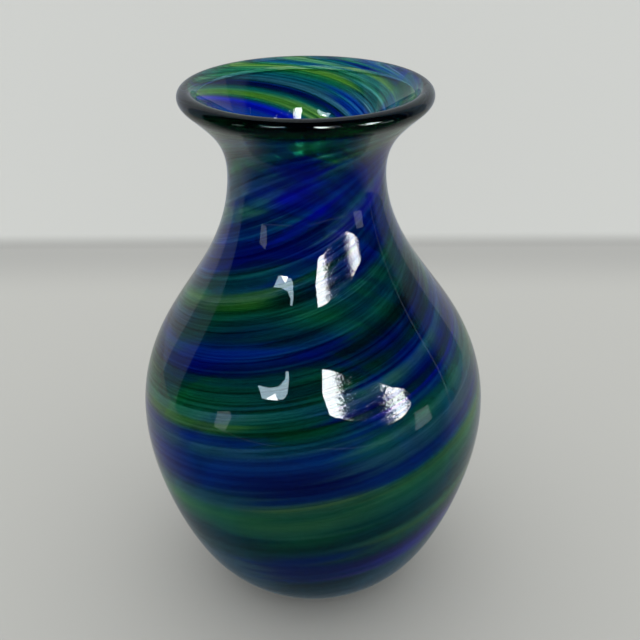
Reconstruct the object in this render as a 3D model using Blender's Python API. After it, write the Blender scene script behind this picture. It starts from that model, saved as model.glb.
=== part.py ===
"""Hand blown vase of cased, swirled art glass, in the layers it is worked from.

An inner gather forms the vessel, streaks of coloured glass are wound round it in one
rising swirl, an outer gather of clear glass cases them, and a fire-polished bead closes
the rim over both gathers. Metres, +Z up, origin at the middle of the flat foot.
"""
import bisect
import math

import bmesh
import bpy
import numpy as np

MM = 0.001

# Driving dimensions, in millimetres
HEIGHT = 220.0
FOOT_RADIUS = 34.5
BODY_RADIUS = 71.5
BODY_HEIGHT = 88.0
NECK_RADIUS = 30.0
NECK_HEIGHT = 186.0
WALL_TOP = 212.4          # where the wall ends and the rim bead begins
BEAD_RADIUS = 3.1
BEAD_RING_RADIUS = 43.3   # from the axis to the middle of the bead's section
BEAD_ARC = (-30.0, 150.0) # degrees of the section that are round, from the outer side
BEAD_ARC_STEPS = 9

CASING = 1.7              # outer gather, wall thickness
COLOUR = 0.9              # room between the gathers for the colour, beyond the joints
STREAK = 0.7              # thickness at the middle of a streak
GATHER = 1.6              # inner gather, wall thickness
RIM_THICKENING = 1.6      # added to the inner gather where it meets the rim bead
THICKENS_FROM = 195.0     # height where that thickening begins
JOINT = 0.3               # gap left between fused layers
CASING_FLOOR = 4.0
GATHER_FLOOR = 5.2
CLOSEST = 2.0             # least height between a floor and the first row above it
CAVITY_DEPTH = CASING + COLOUR + GATHER + 2.0 * JOINT

NECK_LEAN = 1.7           # how far the neck and rim sit off the body's axis, towards -X
LEAN_FROM = 120.0
LEAN_TO = 190.0

SEGMENTS = 36
SHARP_ANGLE = math.radians(35.0)
ROW_COUNT = 28
ROW_CROWDING = 1.35       # above 1, rows lie closer together towards the flared rim
STEP = math.tau / SEGMENTS
FRONT = -math.pi / 2      # the streaks' heights are given here, facing -Y

# Heights and radii that the outer face of the wall passes through, foot to rim
OUTLINE = [
    (0.0, FOOT_RADIUS), (12.0, 47.0), (32.0, 59.2), (60.0, 68.3), (BODY_HEIGHT, BODY_RADIUS),
    (105.0, 68.8), (122.0, 61.6), (138.0, 51.2), (156.0, 39.4), (NECK_HEIGHT, NECK_RADIUS),
    (204.0, 35.1), (WALL_TOP, 43.5),
]

# Height against turns of the swirl, counted from SWIRL_START below the foot: each turn
# climbs further than the last, so the streaks run flat round the body and steep on the neck
SWIRL_START = 60.0
SWIRL_PITCH = 41.0
SWIRL_GROWTH = 9.0
STREAK_BOTTOM = 16.0
STREAK_TOP = 206.0
STREAK_HALF_TURN = math.radians(168.0)
TIP_SHARE = 0.16          # length over which a streak narrows at each end
TIP_WIDTH = 0.25          # width left at the very tip, as a share of the full width

GLASS_ROUGHNESS = 0.03
GLASS_IOR = 1.5
GLASS_TRANSMISSION = 0.9
GLASS = {
    "clear": (0.80, 0.90, 0.88),
    "cobalt": (0.01, 0.05, 0.42),
    "violet": (0.08, 0.04, 0.40),
    "emerald": (0.01, 0.13, 0.07),
    "lime": (0.30, 0.45, 0.05),
    "teal": (0.03, 0.22, 0.25),
}

# Coloured streaks: kind of glass, height where it crosses the front, half of its width
STREAKS = [
    ("cobalt", 6.0, 4.0), ("teal", 20.0, 4.5), ("emerald", 33.0, 4.0), ("violet", 46.0, 4.5),
    ("emerald", 61.0, 5.0), ("lime", 74.0, 3.5), ("cobalt", 93.0, 6.5), ("teal", 106.0, 3.5),
    ("lime", 117.0, 4.0), ("emerald", 128.0, 4.0), ("cobalt", 139.0, 4.0), ("lime", 151.0, 4.0),
    ("emerald", 162.0, 4.0), ("cobalt", 172.0, 3.7), ("cobalt", 182.0, 3.7), ("violet", 192.0, 3.5),
    ("emerald", 202.0, 4.0), ("teal", 213.0, 4.0), ("lime", 225.0, 4.0), ("cobalt", 238.0, 4.0),
]


def natural_spline(points):
    """Smooth curve through (x, y) points; returns functions for its height and slope."""
    x, y = (np.array(column, dtype=float) for column in zip(*points))
    step = np.diff(x)
    count = len(x)
    matrix = np.eye(count)
    target = np.zeros(count)
    for i in range(1, count - 1):
        matrix[i, i - 1:i + 2] = step[i - 1], 2.0 * (step[i - 1] + step[i]), step[i]
        target[i] = 6.0 * ((y[i + 1] - y[i]) / step[i] - (y[i] - y[i - 1]) / step[i - 1])
    bend = np.linalg.solve(matrix, target)

    def span(at):
        i = min(max(int(np.searchsorted(x, at)) - 1, 0), count - 2)
        chord = (y[i + 1] - y[i]) / step[i] - step[i] * (2.0 * bend[i] + bend[i + 1]) / 6.0
        return i, at - x[i], chord

    def value(at):
        i, t, chord = span(at)
        return y[i] + t * (chord + t * (bend[i] / 2.0 + t * (bend[i + 1] - bend[i]) / (6.0 * step[i])))

    def slope(at):
        i, t, chord = span(at)
        return chord + t * (bend[i] + t * (bend[i + 1] - bend[i]) / (2.0 * step[i]))

    return value, slope


outer_radius, outer_slope = natural_spline(OUTLINE)


def ease(share):
    """Smooth step from 0 to 1 as share goes from 0 to 1."""
    t = min(max(share, 0.0), 1.0)
    return t * t * (3.0 - 2.0 * t)


def lean(height):
    return -NECK_LEAN * ease((height - LEAN_FROM) / (LEAN_TO - LEAN_FROM))


def inside(height, depth):
    """(radius, height) of the point that lies depth inside the wall, square to its outer face."""
    slope = outer_slope(height)
    length = math.hypot(1.0, slope)
    return outer_radius(height) - depth / length, height + depth * slope / length


ROWS = [WALL_TOP * (1.0 - (1.0 - i / ROW_COUNT) ** ROW_CROWDING) for i in range(ROW_COUNT + 1)]


def faceted(height, depth):
    """As inside(), but on the straight facets between the rows, as the gathers are built."""
    i = min(max(bisect.bisect(ROWS, height) - 1, 0), ROW_COUNT - 1)
    share = (height - ROWS[i]) / (ROWS[i + 1] - ROWS[i])
    low, high = inside(ROWS[i], depth), inside(ROWS[i + 1], depth)
    return tuple(a + share * (b - a) for a, b in zip(low, high))


def place(radius, height, angle, shift):
    return (
        (radius * math.cos(angle) + shift) * MM,
        radius * math.sin(angle) * MM,
        height * MM,
    )


def glass(kind):
    name = kind + "_glass"
    if name in bpy.data.materials:
        return bpy.data.materials[name]
    material = bpy.data.materials.new(name)
    material.use_nodes = True
    shader = material.node_tree.nodes["Principled BSDF"]
    shader.inputs["Base Color"].default_value = (*GLASS[kind], 1.0)
    shader.inputs["Roughness"].default_value = GLASS_ROUGHNESS
    shader.inputs["IOR"].default_value = GLASS_IOR
    shader.inputs["Transmission Weight"].default_value = GLASS_TRANSMISSION
    material.diffuse_color = (*GLASS[kind], 1.0)
    return material


def add_object(name, mesh_builder, kind):
    bm = mesh_builder()
    bmesh.ops.recalc_face_normals(bm, faces=bm.faces)
    mesh = bpy.data.meshes.new(name)
    bm.to_mesh(mesh)
    bm.free()
    mesh.shade_smooth()
    mesh.set_sharp_from_angle(angle=SHARP_ANGLE)
    mesh.materials.append(glass(kind))
    piece = bpy.data.objects.new(name, mesh)
    bpy.context.scene.collection.objects.link(piece)
    return piece


def skin(bm, rings, closed):
    """Join rings of vertices by bands of faces; closed joins the last ring to the first."""
    pairs = list(zip(rings, rings[1:]))
    if closed:
        pairs.append((rings[-1], rings[0]))
    for low, high in pairs:
        for j in range(len(low)):
            k = (j + 1) % len(low)
            bm.faces.new((low[j], low[k], high[k], high[j]))


def ring(bm, radius, height, shift):
    return [bm.verts.new(place(radius, height, j * STEP, shift)) for j in range(SEGMENTS)]


def cavity_depth(height):
    """Depth of the cavity's face at a height; the wall thickens towards the rim."""
    return CAVITY_DEPTH + RIM_THICKENING * ease((height - THICKENS_FROM) / (WALL_TOP - THICKENS_FROM))


def even(depth):
    """A face that lies the same depth inside the wall at every height."""
    return lambda height: depth


def vessel(outer_depth, inner_depth, bottom, floor):
    """Open vessel whose wall lies between two depths, standing on a flat bottom face."""

    def wall(depth, lowest):
        points = [(*inside(row, depth(row)), lean(row)) for row in ROWS]
        above = [point for point in points if point[1] > lowest + CLOSEST]
        under = [point for point in points if point[1] <= lowest + CLOSEST][-1]
        share = (lowest - under[1]) / (above[0][1] - under[1])
        radius = under[0] + share * (above[0][0] - under[0])
        return [(radius, lowest, 0.0)] + above

    def build():
        bm = bmesh.new()
        outline = wall(outer_depth, bottom)
        hollow = wall(inner_depth, bottom + floor)
        rings = [ring(bm, *point) for point in outline + hollow[::-1]]
        skin(bm, rings, closed=False)
        bm.faces.new(rings[0])
        bm.faces.new(rings[-1])
        return bm

    return build


def rim_bead():
    """Bead on top of the wall: rounded over the crest, flat where it meets the two gathers."""
    slope = outer_slope(WALL_TOP)
    length = math.hypot(1.0, slope)
    along = (slope / length * JOINT, JOINT / length)
    outline = []
    for point in (inside(WALL_TOP, cavity_depth(WALL_TOP)), inside(WALL_TOP, 0.0)):
        outline.append((point[0] + along[0], point[1] + along[1]))
    for degrees in np.linspace(*BEAD_ARC, BEAD_ARC_STEPS + 1):
        angle = math.radians(degrees)
        radius = BEAD_RING_RADIUS + BEAD_RADIUS * math.cos(angle)
        outline.append((radius, HEIGHT - BEAD_RADIUS + BEAD_RADIUS * math.sin(angle)))
    bm = bmesh.new()
    rings = [ring(bm, radius, height, lean(WALL_TOP)) for radius, height in outline]
    skin(bm, rings, closed=True)
    return bm


def turns_at(height):
    """Turns of the swirl from its start up to a height; the reverse of height_at."""
    root = math.sqrt(SWIRL_PITCH ** 2 + 4.0 * SWIRL_GROWTH * (height + SWIRL_START))
    return (root - SWIRL_PITCH) / (2.0 * SWIRL_GROWTH)


def height_at(turns):
    return SWIRL_PITCH * turns + SWIRL_GROWTH * turns ** 2 - SWIRL_START


def streak(front_height, half_width):
    """Lens-shaped ribbon that follows the swirl between the two gathers."""
    start = turns_at(front_height)
    steps = int(STREAK_HALF_TURN / STEP)
    course = []
    for i in range(-steps, steps + 1):
        height = height_at(start + i * STEP / math.tau)
        if STREAK_BOTTOM + half_width <= height <= STREAK_TOP - half_width:
            course.append((FRONT + i * STEP, height))
    middle = CASING + JOINT + COLOUR / 2.0

    def build():
        bm = bmesh.new()
        sections = []
        for i, (angle, height) in enumerate(course):
            along = i / (len(course) - 1)
            taper = min(along, 1.0 - along) / TIP_SHARE
            share = TIP_WIDTH + (1.0 - TIP_WIDTH) * math.sin(min(taper, 1.0) * math.pi / 2.0)
            reach = half_width * share
            swell = STREAK / 2.0 * share
            corners = [
                (height - reach, middle), (height, middle - swell),
                (height + reach, middle), (height, middle + swell),
            ]
            sections.append([
                bm.verts.new(place(*faceted(at, down), angle, lean(at))) for at, down in corners
            ])
        skin(bm, sections, closed=False)
        bm.faces.new(sections[0])
        bm.faces.new(sections[-1])
        return bm

    return build


def build_vase():
    for item in list(bpy.data.objects):
        bpy.data.objects.remove(item, do_unlink=True)
    casing = vessel(even(0.0), even(CASING), 0.0, CASING_FLOOR)
    add_object("outer_gather", casing, "clear")
    gather_outside = even(CASING + COLOUR + 2.0 * JOINT)
    gather = vessel(gather_outside, cavity_depth, CASING_FLOOR + JOINT, GATHER_FLOOR)
    add_object("inner_gather", gather, "clear")
    add_object("rim_bead", rim_bead, "emerald")
    number = {kind: 0 for kind in GLASS}
    for kind, front_height, half_width in STREAKS:
        number[kind] += 1
        add_object(f"{kind}_streak_{number[kind]}", streak(front_height, half_width), kind)


build_vase()
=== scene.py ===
"""Looks of the hand blown swirl vase: smooth cased glass, a procedural swirl of colour and a daylit table."""

import math

import bmesh
import bpy
import numpy as np
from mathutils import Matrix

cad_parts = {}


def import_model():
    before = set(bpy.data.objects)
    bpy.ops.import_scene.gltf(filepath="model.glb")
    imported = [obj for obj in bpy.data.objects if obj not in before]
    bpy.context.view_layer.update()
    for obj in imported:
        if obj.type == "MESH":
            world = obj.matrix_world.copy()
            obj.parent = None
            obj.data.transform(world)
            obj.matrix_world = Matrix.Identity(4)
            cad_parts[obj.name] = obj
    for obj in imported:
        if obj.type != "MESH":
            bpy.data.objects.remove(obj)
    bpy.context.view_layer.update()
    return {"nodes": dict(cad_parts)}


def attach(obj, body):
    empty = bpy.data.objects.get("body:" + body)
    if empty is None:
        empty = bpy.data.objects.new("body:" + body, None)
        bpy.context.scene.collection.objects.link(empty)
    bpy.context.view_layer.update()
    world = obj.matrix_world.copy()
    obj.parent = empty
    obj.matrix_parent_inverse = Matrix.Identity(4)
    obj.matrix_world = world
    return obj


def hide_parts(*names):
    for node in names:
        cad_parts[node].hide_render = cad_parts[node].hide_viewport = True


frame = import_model()

MM = 0.001

# The vase's own dimensions, in millimetres, as the CAD part has them
HEIGHT = 220.0
OUTLINE = [
    (0.0, 34.5), (12.0, 47.0), (32.0, 59.2), (60.0, 68.3), (88.0, 71.5), (105.0, 68.8), (122.0, 61.6),
    (138.0, 51.2), (156.0, 39.4), (186.0, 30.0), (204.0, 35.1), (212.4, 43.5),
]
WALL_TOP = OUTLINE[-1][0]
BELLY = max(radius for _, radius in OUTLINE)
CASING = 1.7              # clear glass outside the colour
COLOUR = 0.9              # the layer that holds the swirl
WALL = 4.8
RIM_THICKENING, THICKENS_FROM = 1.6, 195.0
FUSED_GAP = 0.04          # left between faces that are fused in the real vase
FLOOR_TOP = 9.5
COLOUR_FLOOR = 4.4
BEAD_RADIUS = 3.1
BEAD_RING_RADIUS = 43.3
NECK_LEAN, LEAN_FROM, LEAN_TO = 1.7, 120.0, 190.0

# How finely the pieces are drawn, in millimetres and degrees
SEGMENTS = 180
WALL_ROW = 1.6            # height of one row of faces on the wall
FLOOR_ROW = 2.4           # width of one ring of faces on a floor
BEAD_ROW = 0.35           # length of one row of faces round the bead
SHARP_ANGLE = 32.0        # edges sharper than this aren't smoothed
FLOOR_SHORT = 0.6         # a flat floor stops this far short of its wall
WALL_FROM = 1.0           # a wall starts this far above its floor
HEEL_TOP = 60.0           # every floor meets its wall below this height

# How far the swirl climbs in one turn, by height
SWIRL_CLIMB = [
    (0.0, 58.0), (45.0, 68.0), (80.0, 90.0), (130.0, 80.0), (160.0, 90.0), (186.0, 112.0), (200.0, 80.0),
    (208.0, 50.0), (214.0, 34.0), (220.0, 28.0),
]
TURN_STEP = 0.5           # height between two rows of the table of turns
FOOT_CLIMB = 22.0         # under the foot, radius gained in one turn
FOOT_ZONE = 30.0          # height up to which the swirl winds in to the middle
SEAM_ANGLE = 120.0        # where the bands of one turn cross over into those of the next


def natural_spline(points):
    """Smooth curve through (x, y) points, as two functions: its height and its slope."""
    x, y = (np.array(column, dtype=float) for column in zip(*points))
    step = np.diff(x)
    count = len(x)
    matrix = np.eye(count)
    target = np.zeros(count)
    for i in range(1, count - 1):
        matrix[i, i - 1:i + 2] = step[i - 1], 2.0 * (step[i - 1] + step[i]), step[i]
        target[i] = 6.0 * ((y[i + 1] - y[i]) / step[i] - (y[i] - y[i - 1]) / step[i - 1])
    bend = np.linalg.solve(matrix, target)

    def span(at):
        i = min(max(int(np.searchsorted(x, at)) - 1, 0), count - 2)
        chord = (y[i + 1] - y[i]) / step[i] - step[i] * (2.0 * bend[i] + bend[i + 1]) / 6.0
        return i, at - x[i], chord

    def value(at):
        i, t, chord = span(at)
        return y[i] + t * (chord + t * (bend[i] / 2.0 + t * (bend[i + 1] - bend[i]) / (6.0 * step[i])))

    def slope(at):
        i, t, chord = span(at)
        return chord + t * (bend[i] + t * (bend[i + 1] - bend[i]) / (2.0 * step[i]))

    return value, slope


outer_radius, outer_slope = natural_spline(OUTLINE)


def ease(share):
    """Smooth step from 0 to 1 as share goes from 0 to 1."""
    t = min(max(share, 0.0), 1.0)
    return t * t * (3.0 - 2.0 * t)


def lean(height):
    """Sideways shift of the vase's axis at a height."""
    return -NECK_LEAN * ease((height - LEAN_FROM) / (LEAN_TO - LEAN_FROM))


def cavity_depth(height):
    """Depth of the cavity's face at a height; the wall thickens towards the rim."""
    return WALL + RIM_THICKENING * ease((height - THICKENS_FROM) / (WALL_TOP - THICKENS_FROM))


def even(depth):
    """A face that lies the same depth inside the wall at every height."""
    return lambda height: depth


def inside(height, depth):
    """(radius, height) of the point that lies depth inside the wall, square to its outer face."""
    slope = outer_slope(height)
    length = math.hypot(1.0, slope)
    return outer_radius(height) - depth / length, height + depth * slope / length


def turns_table():
    """Turns of the swirl against height, counted from 1 at the foot."""
    heights, climbs = zip(*SWIRL_CLIMB)
    fine = np.linspace(0.0, HEIGHT, round(HEIGHT / TURN_STEP) + 1)
    rate = 1.0 / np.interp(fine, heights, climbs)
    total = 1.0 + np.concatenate([[0.0], np.cumsum((rate[1:] + rate[:-1]) / 2.0 * np.diff(fine))])
    return fine, total


TURN_HEIGHTS, TURN_COUNTS = turns_table()


def turns_at(radius, height):
    """Swirl turns at a point; under the foot and on the cavity floor they wind in to the middle."""
    along = float(np.interp(height, TURN_HEIGHTS, TURN_COUNTS))
    wall = outer_radius(min(max(height, 0.0), WALL_TOP)) - WALL
    return along - max(wall - radius, 0.0) / FOOT_CLIMB if height < FOOT_ZONE else along


# --- outlines and turned bodies -------------------------------------------------------------------

# An outline is a list of (radius, height, height whose swirl and lean it takes)

def smooth_path(points, spacing):
    """Evenly spaced points along a smooth curve through (radius, height) points."""
    points = np.array(points, dtype=float)
    along = np.concatenate([[0.0], np.cumsum(np.hypot(*np.diff(points, axis=0).T))])
    radius, _ = natural_spline(list(zip(along, points[:, 0])))
    height, _ = natural_spline(list(zip(along, points[:, 1])))
    count = max(int(round(along[-1] / spacing)), 2)
    return [(radius(s), height(s)) for s in np.linspace(0.0, along[-1], count + 1)]


def wall_path(depth, low, high):
    """Face inside the wall; depth is a function of height."""
    count = max(int(round((high - low) / WALL_ROW)), 2)
    return [(*inside(h, depth(h)), h) for h in np.linspace(low, high, count + 1)]


def floor_path(height, rim):
    """Flat disc from its middle out to its rim."""
    count = max(int(rim / FLOOR_ROW), 2)
    return [(rim * (i / count), height, height) for i in range(count + 1)]


def floor_rim(depth, floor):
    """Radius at which a flat floor ends, a little short of the wall's face at a depth."""
    path = wall_path(depth, 0.0, HEEL_TOP)
    wall = np.interp(floor + FLOOR_SHORT, [p[1] for p in path], [p[0] for p in path])
    return float(wall) - FLOOR_SHORT


def bowl_path(depth, floor):
    """One face of a layer: its floor, then its wall."""
    wall = [p for p in wall_path(depth, 0.0, WALL_TOP) if p[1] > floor + WALL_FROM]
    return floor_path(floor, floor_rim(depth, floor)) + wall


def rim_path():
    """The bead's section, running on smoothly from both faces of the wall."""
    run_on = (3.0, 1.5, 0.0)      # heights below the top of the wall that the curve starts and ends with
    wall_out = [inside(WALL_TOP - back, 0.0) for back in run_on]
    wall_in = [inside(WALL_TOP - back, cavity_depth(WALL_TOP - back)) for back in run_on[::-1]]
    arc = []
    for degrees in (-12.0, 20.0, 55.0, 90.0, 120.0):
        angle = math.radians(degrees)
        arc.append((
            BEAD_RING_RADIUS + BEAD_RADIUS * math.cos(angle),
            HEIGHT - BEAD_RADIUS + BEAD_RADIUS * math.sin(angle),
        ))
    path = smooth_path(wall_out + arc + wall_in, BEAD_ROW)
    half = len(path) // 2
    first = min(range(half), key=lambda i: math.dist(path[i], wall_out[-1]))
    last = min(range(half, len(path)), key=lambda i: math.dist(path[i], wall_in[0]))
    path = path[first:last + 1]
    path[0], path[-1] = wall_out[-1], wall_in[0]
    return [(radius, height, min(max(height, WALL_TOP), HEIGHT)) for radius, height in path]


def scene_object(name, bm, materials):
    """Object in the scene made of what bm holds."""
    mesh = bpy.data.meshes.new(name)
    bm.to_mesh(mesh)
    bm.free()
    for material in materials:
        mesh.materials.append(material)
    item = bpy.data.objects.new(name, mesh)
    bpy.context.scene.collection.objects.link(item)
    return item


def revolve(name, outline, materials, pick, closed=False):
    """Turned body; pick chooses the material of each band of faces, by its number."""
    bm = bmesh.new()
    layer = bm.verts.layers.float.new("turns")
    rings = []
    for radius, height, swirl_height in outline:
        shift = lean(swirl_height)
        turns = turns_at(radius, swirl_height)
        ring = []
        for j in range(SEGMENTS if radius > 0.0 else 1):
            angle = math.tau * j / SEGMENTS
            vert = bm.verts.new((
                (radius * math.cos(angle) + shift) * MM, radius * math.sin(angle) * MM, height * MM,
            ))
            vert[layer] = turns
            ring.append(vert)
        rings.append(ring)
    pairs = list(zip(rings, rings[1:]))
    if closed:
        pairs.append((rings[-1], rings[0]))
    for band, (low, high) in enumerate(pairs):
        for j in range(SEGMENTS):
            k = (j + 1) % SEGMENTS
            corners = [low[j % len(low)], low[k % len(low)], high[k % len(high)], high[j % len(high)]]
            corners = [c for i, c in enumerate(corners) if c not in corners[:i]]
            bm.faces.new(corners).material_index = pick(band)
    bmesh.ops.recalc_face_normals(bm, faces=bm.faces)
    piece = scene_object(name, bm, materials)
    piece.data.shade_smooth()
    piece.data.set_sharp_from_angle(angle=math.radians(SHARP_ANGLE))
    return piece


# --- colours of the swirl -------------------------------------------------------------------------

# What one wall of each glass lets through, linear red, green, blue
GLASS = {
    "aqua": (0.22, 0.62, 0.74),
    "slate": (0.11, 0.33, 0.47),
    "sea": (0.12, 0.49, 0.34),
    "teal": (0.02, 0.27, 0.30),
    "deep_teal": (0.006, 0.17, 0.25),
    "emerald": (0.030, 0.34, 0.20),
    "forest": (0.010, 0.215, 0.165),
    "pine": (0.003, 0.11, 0.13),
    "lime": (0.30, 0.58, 0.16),
    "fern": (0.20, 0.62, 0.31),
    "moss": (0.13, 0.39, 0.12),
    "cobalt": (0.003, 0.11, 0.56),
    "navy": (0.002, 0.040, 0.39),
    "ultramarine": (0.010, 0.035, 0.85),
    "violet": (0.10, 0.07, 0.80),
    "indigo": (0.035, 0.035, 0.30),
}

# Bands of the swirl where it crosses five places round the vase: degrees round from the front, then the
# height and glass of each band
LEFT_BANDS = (-33.0, [
    (0, "deep_teal"), (14, "slate"), (24, "slate"), (40, "slate"), (48, "teal"), (55, "deep_teal"),
    (62, "teal"), (67, "sea"), (70.5, "fern"), (74, "sea"), (78, "slate"), (82, "slate"), (86, "cobalt"),
    (94, "cobalt"), (100, "slate"), (104, "cobalt"), (107, "slate"), (110, "lime"), (113, "sea"),
    (118, "emerald"), (121, "forest"), (124, "forest"), (129, "navy"), (134, "cobalt"), (138, "deep_teal"),
    (142, "pine"), (146, "teal"), (149, "moss"), (151.5, "lime"), (153.5, "sea"), (156, "teal"),
    (160, "deep_teal"), (164, "navy"), (170, "navy"), (175, "cobalt"), (180, "navy"), (185, "slate"),
    (188, "navy"), (193, "slate"), (197, "deep_teal"), (201, "sea"), (204, "forest"), (207, "sea"),
    (210, "teal"), (212.4, "moss"), (214.5, "forest"), (217, "moss"), (220, "forest"),
])
FRONT_BANDS = (-3.0, [
    (0, "deep_teal"), (14, "slate"), (24, "deep_teal"), (32, "deep_teal"), (38, "cobalt"), (45, "navy"),
    (52, "cobalt"), (57, "teal"), (61, "forest"), (65, "emerald"), (68, "sea"), (71, "sea"), (73.5, "fern"),
    (75.5, "fern"), (78, "sea"), (81, "sea"), (83.2, "lime"), (85.5, "slate"), (87.5, "cobalt"),
    (92, "navy"), (98, "navy"), (102, "cobalt"), (106, "slate"), (109, "deep_teal"), (112, "emerald"),
    (115, "emerald"), (119, "forest"), (122, "emerald"), (126, "pine"), (130, "forest"), (133, "deep_teal"),
    (137, "navy"), (140, "deep_teal"), (143, "pine"), (147, "forest"), (151, "teal"), (155, "pine"),
    (160, "forest"), (165, "cobalt"), (170, "navy"), (175, "navy"), (179, "ultramarine"), (183, "cobalt"),
    (187, "navy"), (192, "ultramarine"), (196, "navy"), (200, "navy"), (203, "navy"), (206, "emerald"),
    (208, "sea"), (210, "sea"), (212.4, "forest"), (215, "moss"), (217.5, "pine"), (220, "forest"),
])
RIGHT_BANDS = (28.0, [
    (0, "deep_teal"), (14, "slate"), (30, "slate"), (38, "slate"), (45, "violet"), (51, "indigo"),
    (56, "teal"), (58.5, "sea"), (61.5, "lime"), (64, "sea"), (68, "deep_teal"), (73, "teal"), (77, "teal"),
    (80, "sea"), (83, "sea"), (86, "fern"), (88.3, "lime"), (90, "teal"), (92, "cobalt"), (96, "cobalt"),
    # the cobalt and ultramarine bands at 116 and 118 are partly glass colour and partly painted light: they
    # stand in for bright patches of light passing through the glass
    (99, "slate"), (103, "slate"), (107, "teal"), (110, "sea"), (113, "teal"), (116, "cobalt"),
    (118, "ultramarine"), (120, "deep_teal"), (123, "cobalt"), (126, "slate"), (129, "cobalt"),
    (133, "pine"), (137, "navy"), (141, "pine"), (146, "forest"), (150, "deep_teal"), (155, "forest"),
    (160, "navy"), (165, "cobalt"), (169, "navy"), (174, "cobalt"), (178, "violet"), (182, "slate"),
    (187, "navy"), (191, "cobalt"), (195, "navy"), (199, "teal"), (202, "sea"), (204, "lime"),
    (206, "emerald"), (209, "sea"), (211, "emerald"), (214, "forest"), (217, "moss"), (220, "teal"),
])
BACK_BANDS = (-180.0, [
    (0, "deep_teal"), (14, "slate"), (22, "teal"), (29, "slate"), (35, "cobalt"), (41, "slate"),
    (46, "teal"), (51, "sea"), (55, "lime"), (59, "teal"), (64, "cobalt"), (70, "navy"), (75, "cobalt"),
    (79, "slate"), (83, "sea"), (87, "lime"), (91, "emerald"), (96, "teal"), (101, "cobalt"), (106, "navy"),
    (110, "slate"), (114, "sea"), (118, "moss"), (122, "forest"), (127, "cobalt"), (132, "navy"),
    (137, "teal"), (142, "forest"), (147, "moss"), (151, "lime"), (155, "teal"), (160, "cobalt"),
    (166, "navy"), (172, "teal"), (177, "cobalt"), (183, "navy"), (188, "cobalt"), (192, "navy"),
    (194.4, "ultramarine"), (195.6, "cobalt"), (196.4, "deep_teal"), (197.4, "forest"), (198.6, "moss"),
    (199.8, "lime"), (200.8, "moss"), (201.6, "forest"), (203.0, "deep_teal"), (204.0, "navy"),
    (204.9, "cobalt"), (205.6, "pine"), (206.6, "slate"), (207.6, "deep_teal"), (209.2, "teal"),
    (210.2, "forest"), (211.0, "emerald"), (212.3, "lime"), (213.2, "moss"), (213.8, "forest"),
    (214.6, "sea"), (215.2, "forest"), (215.9, "lime"), (216.6, "emerald"), (217.3, "cobalt"),
    (218.2, "aqua"), (219.2, "moss"), (220, "sea"),
])
FAR_BACK_BANDS = (-230.0, [
    (0, "deep_teal"), (14, "slate"), (26, "teal"), (34, "cobalt"), (40, "indigo"), (46, "slate"),
    (52, "sea"), (57, "lime"), (61, "moss"), (66, "teal"), (72, "cobalt"), (79, "navy"), (84, "slate"),
    (89, "sea"), (94, "moss"), (99, "forest"), (104, "cobalt"), (110, "navy"), (115, "teal"), (120, "sea"),
    (125, "forest"), (130, "navy"), (136, "cobalt"), (141, "teal"), (146, "moss"), (150, "forest"),
    (156, "navy"), (162, "slate"), (168, "teal"), (174, "navy"), (181, "cobalt"), (188, "violet"),
    (194, "navy"), (199, "cobalt"), (202.5, "slate"), (204.6, "deep_teal"), (206.2, "teal"),
    (207.2, "aqua"), (208.2, "sea"), (209.4, "teal"), (210.4, "lime"), (211.4, "moss"), (212.4, "forest"),
    (213.4, "sea"), (214.2, "cobalt"), (215.0, "slate"), (215.9, "violet"), (216.9, "ultramarine"),
    (217.8, "slate"), (218.8, "aqua"), (220, "sea"),
])

# Degrees round from the front over which the bands of one place give way to those of the next
FAR_BACK_TO_BACK = (-214.0, -192.0)
LEFT_TO_FRONT = (-28.0, -10.0)
FRONT_TO_RIGHT = (3.0, 22.0)
INTO_VIEW = (-100.0, -62.0)
OUT_OF_VIEW = (62.0, 95.0)

# Noise drawn out along the swirl: how fast it alters along one thread, how fine it is across, which part of
# the noise it takes, and its detail
THREADS = {
    "broad": (0.9, 1.9, 3.1, 2.0),
    "fine": (0.26, 6.0, 7.7, 1.8),
    "finer": (0.20, 18.0, 5.2, 1.5),
    "density": (0.14, 6.5, 1.3, 2.2),
    "dark_lines": (0.10, 6.0, 9.4, 1.3),
    "pale_lines": (0.12, 6.0, 17.3, 1.0),
}
WANDER = (("broad", 0.06), ("fine", 0.085), ("finer", 0.020))   # how far threads shift a band, in turns
SHAKE = (("fine", 60.0), ("broad", 40.0))                       # and the passages between places, in degrees
SEAM_RAGGEDNESS = 1.2                                           # how far they fray the seam, in radians

# The colour's power: 1 is the glass as listed, more is deeper
DENSITY_NOISE, DENSITY = (0.32, 0.68), (0.60, 1.26)
DARK_LINE, DARK_LINE_POWER = 0.034, 0.75
PALE_LINE, PALE_LINE_POWER = 0.016, -0.40
CRISP_HEIGHTS, CRISPNESS = (66.0, 118.0), (0.48, 0.95)          # threads are softer on the lower body
FLARE_HEIGHTS, FLARE_POWER = (190.0, 208.0), 1.35


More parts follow.
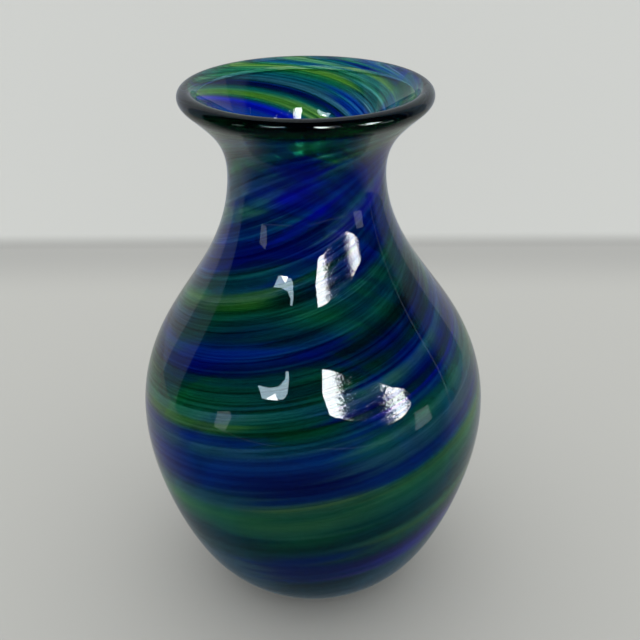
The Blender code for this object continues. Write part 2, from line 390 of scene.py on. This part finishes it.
class Nodes:
    """Short way to add and wire nodes in one tree."""

    def __init__(self, tree):
        self.tree = tree

    def add(self, kind, **settings):
        node = self.tree.nodes.new(kind)
        for key, value in settings.items():
            setattr(node, key, value)
        return node

    def wire(self, source, target):
        """Link a socket, or set a plain value."""
        if hasattr(source, "is_output"):
            self.tree.links.new(source, target)
        else:
            target.default_value = source

    def fill(self, node, **values):
        """Wire values to a node's inputs, with _ for the spaces in their names."""
        for name, value in values.items():
            self.wire(value, node.inputs[name.replace("_", " ")])
        return node

    def math(self, operation, *values, clamp=False):
        node = self.add("ShaderNodeMath", operation=operation, use_clamp=clamp)
        for socket, value in zip(node.inputs, values):
            self.wire(value, socket)
        return node.outputs[0]

    def mix(self, share, first, second):
        node = self.add("ShaderNodeMix", data_type="RGBA")
        return self.fill(node, Factor=share, A=first, B=second).outputs["Result"]

    def gamma(self, colour, power):
        return self.fill(self.add("ShaderNodeGamma"), Color=colour, Gamma=power).outputs["Color"]

    def fade(self, value, start, end, at_start=0.0, at_end=1.0, kind="SMOOTHSTEP"):
        """at_start up to start, at_end past end, and a passage between them."""
        node = self.add("ShaderNodeMapRange", interpolation_type=kind)
        self.fill(node, Value=value, From_Min=start, From_Max=end, To_Min=at_start, To_Max=at_end)
        return node.outputs["Result"]

    def place(self, kind="Object"):
        return self.add("ShaderNodeTexCoord").outputs[kind]

    def parts(self, vector):
        """X, Y and Z of a vector."""
        return self.fill(self.add("ShaderNodeSeparateXYZ"), Vector=vector).outputs

    def round_by(self, parts):
        """Angle round from the front, in radians."""
        return self.math("ARCTAN2", parts["X"], self.math("MULTIPLY", parts["Y"], -1.0))

    def noise(self, vector, scale, detail, roughness=0.5, offset=0.0):
        shifted = self.add("ShaderNodeVectorMath", operation="ADD")
        self.wire(vector, shifted.inputs[0])
        self.wire((offset, offset * 1.7, offset * 0.6), shifted.inputs[1])
        node = self.add("ShaderNodeTexNoise", noise_dimensions="3D")
        self.fill(node, Vector=shifted.outputs[0], Scale=scale, Detail=detail, Roughness=roughness)
        return node.outputs["Fac"]


def band_turns(angle, height):
    """What one band keeps all the way along the swirl: its turns less its share of a turn round the vase."""
    along = float(np.interp(height, TURN_HEIGHTS, TURN_COUNTS))
    if height < 0.0:
        along += height / SWIRL_CLIMB[0][1]
    return along - angle / 360.0


RAMP_STOPS = 24           # most stops put in one ramp


def bands_group(name, bands):
    """Group: turns along the swirl in, colour of the glass there out."""
    angle, stops = bands
    stops = sorted((band_turns(angle, height), glass) for height, glass in stops)
    group = bpy.data.node_groups.new(name, "ShaderNodeTree")
    group.interface.new_socket("Turns", in_out="INPUT", socket_type="NodeSocketFloat")
    group.interface.new_socket("Color", in_out="OUTPUT", socket_type="NodeSocketColor")
    nodes = Nodes(group)
    turns = nodes.add("NodeGroupInput").outputs["Turns"]
    colour = None
    for start in range(0, len(stops) - 1, RAMP_STOPS - 1):
        part = stops[start:start + RAMP_STOPS]
        low, high = part[0][0], part[-1][0]
        ramp = nodes.fill(nodes.add("ShaderNodeValToRGB"), Fac=nodes.fade(turns, low, high, kind="LINEAR"))
        ramp.color_ramp.interpolation = "EASE"
        elements = ramp.color_ramp.elements
        while len(elements) < len(part):
            elements.new(0.5)
        for element, (at, glass) in zip(elements, part):
            element.position = (at - low) / (high - low)
            element.color = (*GLASS[glass], 1.0)
        if colour is None:
            colour = ramp.outputs["Color"]
        else:
            colour = nodes.mix(nodes.math("GREATER_THAN", turns, low), colour, ramp.outputs["Color"])
    nodes.fill(nodes.add("NodeGroupOutput"), Color=colour)
    return group


def swirl_group():
    """Group: the swirled glass colour of one wall, made of bands frayed into fine threads."""
    group = bpy.data.node_groups.new("swirl", "ShaderNodeTree")
    group.interface.new_socket("Color", in_out="OUTPUT", socket_type="NodeSocketColor")
    nodes = Nodes(group)
    # the angle is turned so that it jumps from one side of 180 degrees to the other at the seam
    turned = nodes.add("ShaderNodeVectorRotate", rotation_type="Z_AXIS")
    nodes.fill(turned, Vector=nodes.place(), Angle=math.radians(270.0 - SEAM_ANGLE))
    parts = nodes.parts(turned.outputs["Vector"])
    angle = nodes.math("ARCTAN2", parts["Y"], parts["X"])
    front = nodes.math("SUBTRACT", angle, math.radians(180.0 - SEAM_ANGLE))
    turns = nodes.add("ShaderNodeAttribute", attribute_name="turns").outputs["Fac"]
    # phase round the swirl: equal along one thread of glass
    phase = nodes.math("SUBTRACT", angle, nodes.math("MULTIPLY", turns, math.tau))
    across_x, across_y = nodes.math("COSINE", phase), nodes.math("SINE", phase)

    def threads(kind):
        change, scale, offset, detail = THREADS[kind]
        field = nodes.add("ShaderNodeCombineXYZ")
        nodes.fill(field, X=across_x, Y=across_y, Z=nodes.math("MULTIPLY", turns, change))
        return nodes.noise(field.outputs["Vector"], scale, detail, offset=offset)

    swaying = {kind: threads(kind) for kind, _ in WANDER}

    def swing(kind, reach):
        return nodes.math("MULTIPLY", nodes.math("SUBTRACT", swaying[kind], 0.5), reach)

    # bands wander and fray
    along = nodes.math("SUBTRACT", turns, nodes.math("DIVIDE", front, math.tau))
    for kind, reach in WANDER:
        along = nodes.math("ADD", along, swing(kind, reach))
    # degrees round from the front, shaken so that the bands of one place lace into the next
    shake = nodes.math("ADD", *(swing(kind, reach) for kind, reach in SHAKE))
    degrees = nodes.math("ADD", nodes.math("MULTIPLY", front, math.degrees(1.0)), shake)

    def banded(bands, turns_along):
        node = nodes.fill(nodes.add("ShaderNodeGroup", node_tree=bands), Turns=turns_along)
        return node.outputs["Color"]

    # the bands behind, carried across the seam with a ragged edge
    far_bands = bands_group("far_back_bands", FAR_BACK_BANDS)
    behind = nodes.mix(nodes.fade(degrees, *FAR_BACK_TO_BACK), banded(far_bands, along),
                       banded(bands_group("back_bands", BACK_BANDS), along))
    side = nodes.math("SIGN", angle)
    beyond = banded(far_bands, nodes.math("ADD", along, side))
    from_seam = nodes.math("SUBTRACT", nodes.math("ABSOLUTE", angle), math.pi)
    ragged = nodes.math("MULTIPLY", swing("fine", SEAM_RAGGEDNESS), side)
    over = nodes.math("ADD", nodes.math("ADD", ragged, 0.5), from_seam, clamp=True)
    behind = nodes.mix(over, behind, beyond)
    # the bands that the photo shows
    facing = banded(bands_group("left_bands", LEFT_BANDS), along)
    for passage, name, bands in (
        (LEFT_TO_FRONT, "front_bands", FRONT_BANDS),
        (FRONT_TO_RIGHT, "right_bands", RIGHT_BANDS),
    ):
        facing = nodes.mix(nodes.fade(degrees, *passage), facing, banded(bands_group(name, bands), along))
    in_view = nodes.math("SUBTRACT", nodes.fade(degrees, *INTO_VIEW), nodes.fade(degrees, *OUT_OF_VIEW),
                         clamp=True)
    colour = nodes.mix(in_view, behind, facing)

    def lines(kind, width, power):
        """Fine lines between the threads, where a noise passes its middle value."""
        away = nodes.math("ABSOLUTE", nodes.math("SUBTRACT", threads(kind), 0.5))
        return nodes.fade(away, 0.0, width, power, 0.0)

    def by_height(heights, at_low, at_high):
        return nodes.fade(turns, *(turns_at(BELLY, height) for height in heights), at_low, at_high)

    # thick and thin places, dark and pale lines, and a deeper colour in the flare
    power = nodes.fade(threads("density"), *DENSITY_NOISE, *DENSITY, kind="LINEAR")
    power = nodes.math("ADD", power, lines("dark_lines", DARK_LINE, DARK_LINE_POWER))
    power = nodes.math("ADD", power, lines("pale_lines", PALE_LINE, PALE_LINE_POWER))
    power = nodes.math("MULTIPLY", nodes.math("SUBTRACT", power, 1.0), by_height(CRISP_HEIGHTS, *CRISPNESS))
    power = nodes.math("MULTIPLY", nodes.math("ADD", power, 1.0), by_height(FLARE_HEIGHTS, 1.0, FLARE_POWER))
    nodes.fill(nodes.add("NodeGroupOutput"), Color=nodes.gamma(colour, power))
    return group


# --- glass ----------------------------------------------------------------------------------------

AIR_IOR = 1.5             # faces of glass that meet air
FUSED_IOR = 1.0           # faces fused to more glass, which don't bend light
SHINE = 0.5               # full reflections


def new_material(name):
    """A material, its nodes and its Principled shader."""
    material = bpy.data.materials.new(name)
    material.use_nodes = True
    return material, Nodes(material.node_tree), material.node_tree.nodes["Principled BSDF"]


def clear_glass(name, ior, clear=1.0, shine=SHINE):
    """Clear glass; clear below 1 clouds it and shine below SHINE dulls its reflections."""
    material, _, shader = new_material(name)
    shader.inputs["Base Color"].default_value = (1.0, 1.0, 1.0, 1.0)
    shader.inputs["Transmission Weight"].default_value = clear
    shader.inputs["Roughness"].default_value = 0.0
    shader.inputs["IOR"].default_value = ior
    shader.inputs["Specular IOR Level"].default_value = shine
    return material


def swirl_glass(name, ior, power, clear=1.0):
    """Glass tinted by the swirl; power deepens the colour."""
    material = clear_glass(name, ior, clear)
    nodes = Nodes(material.node_tree)
    swirl = nodes.add("ShaderNodeGroup", node_tree=SWIRL)
    shader = material.node_tree.nodes["Principled BSDF"]
    nodes.wire(nodes.gamma(swirl.outputs["Color"], power), shader.inputs["Base Color"])
    return material


SWIRL = swirl_group()
casing_outside = swirl_glass("casing_glass", AIR_IOR, power=1.1)
layer_outside = swirl_glass("colour_glass", FUSED_IOR, power=0.30, clear=0.74)
layer_inside = swirl_glass("colour_inside_glass", FUSED_IOR, power=0.85)
cavity_face = clear_glass("gather_glass", AIR_IOR, shine=0.5 * SHINE)
fused_face = clear_glass("fused_glass", FUSED_IOR)
bead_outside = swirl_glass("bead_glass", AIR_IOR, power=1.15)


# --- the vase -------------------------------------------------------------------------------------

def bowl(name, outer, inner, skins, top):
    """Bowl-shaped layer of the wall between two faces, each given as its depth and the height of its floor.

    skins are the materials of the outer and the inner face, and top says which of them covers the upper edge.
    """
    outline = bowl_path(*outer)
    edge = len(outline) - 1
    outline += bowl_path(*inner)[::-1]
    return revolve(name, outline, skins, lambda band: top if band == edge else int(band > edge))


def rim_bead():
    """The bead; its last band of faces is where it is fused to the wall."""
    outline = rim_path()
    fused = len(outline) - 1
    return revolve("rim_bead_glass", outline, [bead_outside, layer_inside], lambda band: int(band == fused),
                   closed=True)


casing = bowl(
    "outer_gather_glass", (even(0.0), 0.0), (even(CASING), COLOUR_FLOOR - FUSED_GAP),
    [casing_outside, fused_face], top=1,
)
layer = bowl(
    "swirl_colour", (even(CASING + FUSED_GAP), COLOUR_FLOOR), (even(CASING + COLOUR), COLOUR_FLOOR + COLOUR),
    [layer_outside, layer_inside], top=1,
)
gather = bowl(
    "inner_gather_glass", (even(CASING + COLOUR + FUSED_GAP), COLOUR_FLOOR + COLOUR + FUSED_GAP),
    (cavity_depth, FLOOR_TOP), [fused_face, cavity_face], top=0,
)
bead = rim_bead()

STREAKS = sorted(name for name in frame["nodes"] if "_streak_" in name)
for piece, slot, replaced in (
    (casing, "clear_glass", ["outer_gather"]),
    (layer, "cobalt_glass", STREAKS),
    (gather, "clear_glass", ["inner_gather"]),
    (bead, "rim_glass", ["rim_bead"]),
):
    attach(piece, "root")
    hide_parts(*replaced)


# --- table and wall, in metres: y runs away from the camera, z up ---------------------------------

RAYS = ("visible_camera", "visible_diffuse", "visible_glossy", "visible_transmission", "visible_shadow")
MIRROR_ONLY = ("visible_glossy",)
LIGHT_ONLY = ("visible_diffuse",)
VIEW_ONLY = ("visible_camera", "visible_transmission", "visible_shadow")

TABLE = (0.318, 0.323, 0.314)
# painted shade: the table's colour in the corner where it runs up into the wall
TABLE_IN_CORNER_SHADE = (0.258, 0.263, 0.258)
WALL_PAINT = (0.482, 0.496, 0.490)
CORNER_SHADE_SPAN = (0.250, 0.330)   # distances behind the vase over which the table darkens: painted shade in the corner under the wall
SEAM = (-0.002, 0.010)    # heights over which the table's colour turns into the wall's
TABLE_ROWS = (-30.0, -0.4, 0.0)     # the last of them keeps the cove's smooth shading off the table
COVE_START, COVE_RADIUS, COVE_STEPS = 0.335, 0.010, 16
PAINT_TOP = 4.0
HALF_WIDTH = 30.0
PAINT_ROUGHNESS = 0.7

# The table as the glass mirrors it ends short of the vase: a dim room lies beyond its edge
MIRRORED_FRONT, MIRRORED_SIDE, MIRRORED_BACK = -0.66, 0.60, 0.43
MIRRORED_TABLE = (0.030, 0.055, 0.070)
MIRRORED_FAR_TABLE = (0.40, 0.41, 0.40)
MIRRORED_FADE = (-0.10, 0.10)


def stage(name, bm, material, seen_by):
    """Part of the surroundings, seen only by the named kinds of ray."""
    item = scene_object(name, bm, [material])
    for ray in RAYS:
        setattr(item, ray, ray in seen_by)
    return item


def glowing_material(name, colour, strength):
    """A material that only gives off light, its nodes and its Emission shader."""
    material = bpy.data.materials.new(name)
    material.use_nodes = True
    material.node_tree.nodes.clear()
    nodes = Nodes(material.node_tree)
    emission = nodes.add("ShaderNodeEmission")
    emission.inputs["Color"].default_value = (*colour, 1.0)
    emission.inputs["Strength"].default_value = strength
    nodes.fill(nodes.add("ShaderNodeOutputMaterial"), Surface=emission.outputs[0])
    return material, nodes, emission


def strip(half_width, path):
    """Faces along a path of (y, z) points, reaching as far to both sides of the vase."""
    bm = bmesh.new()
    left, right = ([bm.verts.new((x, y, z)) for y, z in path] for x in (-half_width, half_width))
    for i in range(len(path) - 1):
        bm.faces.new((left[i], right[i], right[i + 1], left[i + 1])).smooth = True
    return bm


def backdrop():
    """Table running up into a wall through a small cove."""
    path = [(y, 0.0) for y in (*TABLE_ROWS, COVE_START)]
    for i in range(1, COVE_STEPS + 1):
        angle = math.radians(90.0 * i / COVE_STEPS)
        path.append((COVE_START + COVE_RADIUS * math.sin(angle), COVE_RADIUS * (1.0 - math.cos(angle))))
    path.append((COVE_START + COVE_RADIUS, PAINT_TOP))
    material, nodes, shader = new_material("table_and_wall")
    shader.inputs["Roughness"].default_value = PAINT_ROUGHNESS
    shader.inputs["Specular IOR Level"].default_value = 0.0
    parts = nodes.parts(nodes.place())
    # painted shade: the table darkens towards the corner under the wall
    table = nodes.mix(nodes.fade(parts["Y"], *CORNER_SHADE_SPAN), (*TABLE, 1.0), (*TABLE_IN_CORNER_SHADE, 1.0))
    paint = nodes.mix(nodes.fade(parts["Z"], *SEAM), table, (*WALL_PAINT, 1.0))
    nodes.wire(paint, shader.inputs["Base Color"])
    stage("backdrop", strip(HALF_WIDTH, path), material, VIEW_ONLY)


def mirrored_table():
    """Stand-in for the table that only reflections see, dim in front and pale behind."""
    material, nodes, emission = glowing_material("mirrored_table", (1.0, 1.0, 1.0), 1.0)
    behind = nodes.fade(nodes.parts(nodes.place())["Y"], *MIRRORED_FADE)
    # painted reflection: the dim front partly stands for the table in the vase's shade near its foot
    shade = nodes.mix(behind, (*MIRRORED_TABLE, 1.0), (*MIRRORED_FAR_TABLE, 1.0))
    nodes.wire(shade, emission.inputs["Color"])
    path = [(MIRRORED_FRONT, 0.0), (MIRRORED_BACK, 0.0)]
    stage("mirrored_table", strip(MIRRORED_SIDE, path), material, MIRROR_ONLY)


# --- daylight -------------------------------------------------------------------------------------

PANE_DISTANCE = 2.2       # metres from the vase's axis
GLINT_DISTANCE = 2.15     # in front of the pane that it brightens
LIGHT_DISTANCE = 80.0
EYE = 0.13                # height on the vase that directions are measured from

SKY = (0.93, 0.97, 1.0)
BLUE_SKY = (0.60, 0.80, 0.93)
GREY = (0.75, 0.85, 0.92)
WHITE_SKY = (1.0, 0.99, 0.97)
TREES_STRENGTH, LEFT_STRENGTH, GLINT_STRENGTH = 25.0, 11.0, 30.0
GREY_STRENGTH, LEDGE_STRENGTH, LIGHT_STRENGTH = 1.5, 0.45, 1.6

# What is mirrored, as outlines in degrees round from the front and degrees up
WINDOW_TREES = [
    (8.3, 35.2), (7.2, 28.5), (11.3, 18.0), (14.6, 16.4), (17.5, 16.0), (26.0, 12.0), (36.0, 7.5),
    (48.0, 4.0), (58.0, 4.0), (67.0, 6.5), (69.5, 11.0), (66.0, 15.5), (58.0, 19.5), (48.9, 25.0),
    (40.0, 28.5), (29.0, 31.6), (18.0, 34.2),
]
WINDOW_LEFT = [
    (-19.0, 33.6), (-21.5, 33.2), (-20.8, 31.6), (-25.0, 28.8), (-31.7, 27.0), (-40.5, 25.8), (-37.5, 23.8),
    (-35.3, 22.0), (-30.0, 23.2), (-20.5, 24.6), (-18.2, 27.0), (-18.0, 31.8),
]
WINDOW_LEFT_GLINT = [(-33.0, 22.3), (-24.0, 23.6), (-27.0, 26.0)]
GREY_PANES = {
    "grey_pane_left": [(-63.0, -3.0), (-55.0, -1.5), (-52.5, 7.0), (-55.0, 9.0), (-63.0, 5.5)],
    "grey_pane_right": [(65.0, -7.0), (79.0, -7.5), (78.0, 0.5), (67.0, 2.0)],
}
LEDGES = {
    "sill_left": [(-60.0, -2.8), (-20.0, -0.9), (-20.0, -0.5), (-60.0, -2.2)],
    "sill_right": [(4.0, -0.8), (62.0, -5.6), (62.0, -5.0), (4.0, -0.3)],
    "frame_right": [(96.0, -14.0), (97.2, -14.0), (97.2, 30.0), (96.0, 30.0)],
}
# What lights the table: one broad window high on the right
WINDOW_LIGHT = [(0.0, 18.0), (78.0, 18.0), (78.0, 50.0), (0.0, 50.0)]

# Trees before the right-hand window: degrees round from the front, and cover, which leaves fewer gaps the
# higher it is
LEAF_COVER = [
    (7, 0.10), (13, 0.24), (18, 0.44), (24, 0.58), (34, 0.64), (44, 0.62), (50, 0.54), (57, 0.40), (62, 0.44),
    (68, 0.62),
]
LEAF_RANGE = 90.0         # degrees that the ramp of covers spans
LEAF_SCALE, LEAF_DETAIL, LEAF_ROUGHNESS = 30.0, 5.0, 0.70
LEAF_SHARPNESS = 26.0     # how abruptly a gap opens


def pane(name, outline, colour, strength, distance=PANE_DISTANCE, seen_by=MIRROR_ONLY):
    """Glowing patch of window; returns its nodes and its Emission shader."""
    bm = bmesh.new()
    verts = []
    for round_by, up in outline:
        turn, tilt = math.radians(round_by), math.radians(up)
        verts.append(bm.verts.new((
            distance * math.cos(tilt) * math.sin(turn), -distance * math.cos(tilt) * math.cos(turn),
            EYE + distance * math.sin(tilt),
        )))
    bm.faces.new(verts)
    bmesh.ops.triangulate(bm, faces=bm.faces)
    material, nodes, emission = glowing_material(name, colour, strength)
    stage(name, bm, material, seen_by)
    return nodes, emission


def trees():
    """Right-hand window, broken up into the gaps between leaves."""
    nodes, emission = pane("window_trees", WINDOW_TREES, SKY, TREES_STRENGTH)
    place = nodes.place()
    share = nodes.math("DIVIDE", nodes.round_by(nodes.parts(place)), math.radians(LEAF_RANGE))
    ramp = nodes.fill(nodes.add("ShaderNodeValToRGB"), Fac=share)
    stops = ramp.color_ramp.elements
    while len(stops) < len(LEAF_COVER):
        stops.new(1.0)
    for stop, (degrees, cover) in zip(stops, LEAF_COVER):
        stop.position = degrees / LEAF_RANGE
        stop.color = (cover, cover, cover, 1.0)
    leaves = nodes.noise(place, LEAF_SCALE, LEAF_DETAIL, LEAF_ROUGHNESS)
    gaps = nodes.math("MULTIPLY", nodes.math("SUBTRACT", leaves, ramp.outputs["Color"]), LEAF_SHARPNESS,
                      clamp=True)
    nodes.wire(nodes.math("MULTIPLY", gaps, TREES_STRENGTH), emission.inputs["Strength"])


def daylight():
    trees()
    pane("window_left", WINDOW_LEFT, BLUE_SKY, LEFT_STRENGTH)
    pane("window_left_glint", WINDOW_LEFT_GLINT, SKY, GLINT_STRENGTH, GLINT_DISTANCE)
    for outlines, strength in ((GREY_PANES, GREY_STRENGTH), (LEDGES, LEDGE_STRENGTH)):
        for name, outline in outlines.items():
            pane(name, outline, GREY, strength)
    pane("window_light", WINDOW_LIGHT, WHITE_SKY, LIGHT_STRENGTH, LIGHT_DISTANCE, LIGHT_ONLY)


# --- the room -------------------------------------------------------------------------------------

PALE = (0.58, 0.60, 0.60)           # what is seen directly, and through the glass
# light on the table, from ahead of the vase and from behind it
FILL_AHEAD = (1.29, 1.28, 1.25)
FILL_BEHIND = (2.24, 2.22, 2.17)
FILL_FADE = (-0.8, 0.8)             # Y of the directions between the two
# what the glass mirrors
DARK_ROOM = (0.006, 0.008, 0.011)
SIDE_WALL = (0.20, 0.27, 0.32)
BACK_WALL = (0.46, 0.50, 0.54)
# where the dark gives way to pale walls: degrees round from the front, softness, and what lies beyond
ROOM_EDGES = (
    (-98.0, 0.8, SIDE_WALL), (-120.0, 0.8, BACK_WALL),
    (104.0, 7.0, SIDE_WALL), (128.0, 0.8, BACK_WALL),
)


def world():
    """Dim room for what the glass mirrors, pale surroundings for what is seen directly."""
    scene_world = bpy.data.worlds.new("room")
    bpy.context.scene.world = scene_world
    scene_world.use_nodes = True
    nodes = Nodes(scene_world.node_tree)
    parts = nodes.parts(nodes.place("Generated"))
    degrees = nodes.math("MULTIPLY", nodes.round_by(parts), math.degrees(1.0))
    room = (*DARK_ROOM, 1.0)
    for edge, softness, wall in ROOM_EDGES:
        beyond = nodes.math("MULTIPLY", degrees, math.copysign(1.0, edge))
        share = nodes.fade(beyond, abs(edge) - softness, abs(edge) + softness)
        room = nodes.mix(share, room, (*wall, 1.0))
    fill = nodes.mix(nodes.fade(parts["Y"], *FILL_FADE), (*FILL_AHEAD, 1.0), (*FILL_BEHIND, 1.0))
    rays = nodes.add("ShaderNodeLightPath").outputs
    seen = nodes.math("ADD", rays["Is Camera Ray"], rays["Is Transmission Ray"], clamp=True)
    unseen = nodes.mix(rays["Is Glossy Ray"], fill, room)
    background = scene_world.node_tree.nodes["Background"]
    nodes.wire(nodes.mix(seen, unseen, (*PALE, 1.0)), background.inputs["Color"])
    background.inputs["Strength"].default_value = 1.0


# --- camera and settings --------------------------------------------------------------------------

CAMERA_PLACE = (3.03, -316.0, 301.4)
CAMERA_PITCH, CAMERA_ROLL = 29.5, 0.26        # degrees down, and clockwise
SENSOR, LENS = 36.0, 49.45
CLIP_START = 0.01
BOUNCES = 40              # light crosses many faces of glass


def camera():
    data = bpy.data.cameras.new("camera")
    data.sensor_width = SENSOR
    data.lens = LENS
    data.clip_start = CLIP_START
    item = bpy.data.objects.new("camera", data)
    bpy.context.scene.collection.objects.link(item)
    item.location = [along * MM for along in CAMERA_PLACE]
    item.rotation_mode = "XYZ"
    item.rotation_euler = (math.radians(90.0 - CAMERA_PITCH), 0.0, 0.0)
    item.rotation_euler.rotate_axis("Z", -math.radians(CAMERA_ROLL))
    bpy.context.scene.camera = item


backdrop()
mirrored_table()
daylight()
world()
camera()
bpy.context.scene.view_settings.view_transform = "Standard"
bpy.context.scene.cycles.max_bounces = BOUNCES
bpy.context.scene.cycles.transmission_bounces = BOUNCES
